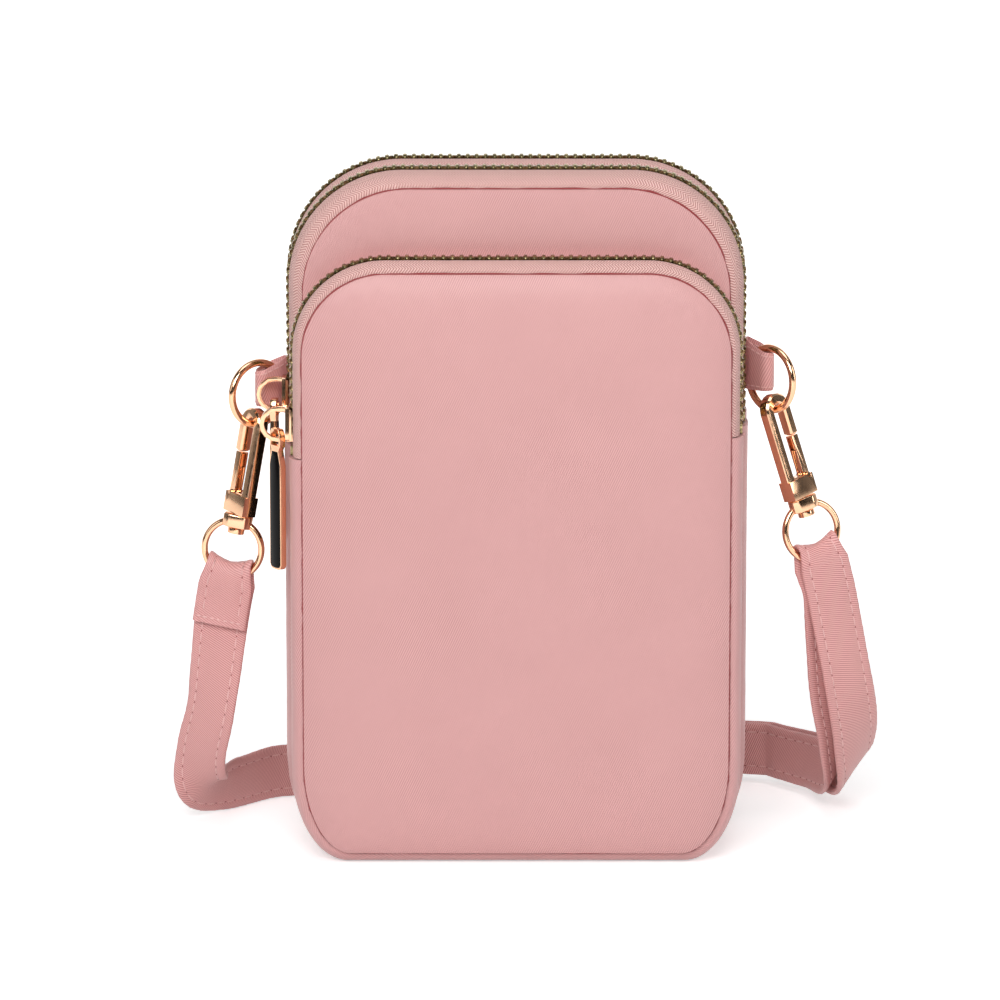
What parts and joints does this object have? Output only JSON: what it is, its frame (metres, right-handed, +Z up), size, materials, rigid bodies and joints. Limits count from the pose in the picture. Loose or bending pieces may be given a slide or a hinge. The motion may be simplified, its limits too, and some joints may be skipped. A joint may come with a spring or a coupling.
{
  "type": "crossbody bag",
  "caption": "Small upright satin nylon crossbody bag with zipped compartments one behind another, a stepped front pocket and a long clip-on webbing strap.",
  "frame": {"origin": "the middle of the bag's base, on the surface it stands on", "axes": "+Z up, -Y towards the pocket at the front, +X to the right as seen from the front"},
  "size_m": [0.2002, 0.1101, 0.1926],
  "materials": {
    "pink_twill": "satin twill nylon",
    "pink_webbing": "folded and edge-stitched satin nylon",
    "pink_tape": "woven zip tape, matt",
    "dark_brass": "antiqued",
    "rose_gold": "polished plating",
    "black_enamel": "glossy enamel"
  },
  "bodies": {
    "bag": {"back_panel": "pink_twill", "front_gusset": "pink_twill", "front_panel": "pink_twill", "front_zip_bottom_stop": "dark_brass", "front_zip_tape_inner": "pink_tape", "front_zip_tape_outer": "pink_tape", "front_zip_teeth": "dark_brass", "front_zip_top_stop_inner": "dark_brass", "front_zip_top_stop_outer": "dark_brass", "left_swivel_eye": "rose_gold", "left_tab": "pink_twill", "middle_gusset": "pink_twill", "middle_panel": "pink_twill", "middle_zip_bottom_stop": "dark_brass", "middle_zip_tape_inner": "pink_tape", "middle_zip_tape_outer": "pink_tape", "middle_zip_teeth": "dark_brass", "middle_zip_top_stop_inner": "dark_brass", "middle_zip_top_stop_outer": "dark_brass", "rear_gusset": "pink_twill", "rear_partition": "pink_twill", "rear_zip_bottom_stop": "dark_brass", "rear_zip_tape_inner": "pink_tape", "rear_zip_tape_outer": "pink_tape", "rear_zip_teeth": "dark_brass", "rear_zip_top_stop_inner": "dark_brass", "rear_zip_top_stop_outer": "dark_brass", "right_swivel_eye": "rose_gold", "right_tab": "pink_twill", "strap": "pink_webbing", "strap_adjuster": "rose_gold"},
    "front_slider": {"front_zip_slider": "rose_gold"},
    "front_pull": {"front_zip_pull": "black_enamel"},
    "middle_slider": {"middle_zip_slider": "rose_gold"},
    "middle_pull": {"middle_zip_pull": "black_enamel"},
    "rear_slider": {"rear_zip_slider": "rose_gold"},
    "rear_pull": {"rear_zip_pull": "black_enamel"},
    "left_ring": {"left_tab_ring": "rose_gold"},
    "left_hook": {"left_hook_body": "rose_gold", "left_gate_pin": "rose_gold", "left_gate_spring": "rose_gold"},
    "left_gate": {"left_gate": "rose_gold"},
    "right_ring": {"right_tab_ring": "rose_gold"},
    "right_hook": {"right_hook_body": "rose_gold", "right_gate_pin": "rose_gold", "right_gate_spring": "rose_gold"},
    "right_gate": {"right_gate": "rose_gold"}
  },
  "joints": [
    {"name": "front_zip_slide", "type": "slide", "parent": "bag", "child": "front_slider", "axis": [0, 0, 1], "range_m": [0, 0.013], "deforming": ["front_zip_teeth"]},
    {"name": "front_pull_swing", "type": "hinge", "parent": "front_slider", "child": "front_pull", "pos_m": [-0.06585, -0.0189, 0.12352], "axis": [0, 1, 0], "range_deg": [0, 120]},
    {"name": "middle_zip_slide", "type": "slide", "parent": "bag", "child": "middle_slider", "axis": [0, 0, -1], "range_m": [-0.025, 0], "deforming": ["middle_zip_teeth"]},
    {"name": "middle_pull_swing", "type": "hinge", "parent": "middle_slider", "child": "middle_pull", "pos_m": [-0.06725, -0.0009, 0.12843], "axis": [0, 1, 0], "range_deg": [0, 3]},
    {"name": "rear_zip_slide", "type": "slide", "parent": "bag", "child": "rear_slider", "axis": [0, 0, 1], "range_m": [0, 0.028], "deforming": ["rear_zip_teeth"]},
    {"name": "rear_pull_swing", "type": "hinge", "parent": "rear_slider", "child": "rear_pull", "pos_m": [-0.06755, 0.018, 0.12453], "axis": [0, 1, 0], "range_deg": [0, 120]},
    {"name": "left_ring_spin", "type": "hinge", "parent": "bag", "child": "left_ring", "pos_m": [-0.07204, 0.00321, 0.12778], "axis": [0.6157, -0.788, 0], "continuous": true},
    {"name": "left_hook_swivel", "type": "hinge", "parent": "bag", "child": "left_hook", "pos_m": [-0.07844, 0.00248, 0.08824], "axis": [0.1736, 0, 0.9848], "range_deg": [-12, 12]},
    {"name": "left_gate_swing", "type": "hinge", "parent": "left_hook", "child": "left_gate", "pos_m": [-0.07845, 0.00501, 0.09941], "axis": [0.7805, 0.6098, -0.1376], "range_deg": [0, 17], "stiffness_Nm_per_rad": 0.002, "springref_deg": -20.05, "deforming": ["left_gate_spring"]},
    {"name": "right_ring_spin", "type": "hinge", "parent": "bag", "child": "right_ring", "pos_m": [0.07085, 0.00193, 0.13216], "axis": [0.7431, 0.6691, 0], "continuous": true},
    {"name": "right_hook_swivel", "type": "hinge", "parent": "bag", "child": "right_hook", "pos_m": [0.0812, 0.00064, 0.09361], "axis": [-0.2924, 0, 0.9563], "range_deg": [-12, 12]},
    {"name": "right_gate_swing", "type": "hinge", "parent": "right_hook", "child": "right_gate", "pos_m": [0.08021, 0.00283, 0.10481], "axis": [0.6556, -0.7281, 0.2004], "range_deg": [0, 17], "stiffness_Nm_per_rad": 0.002, "springref_deg": -20.05, "deforming": ["right_gate_spring"]}
  ]
}
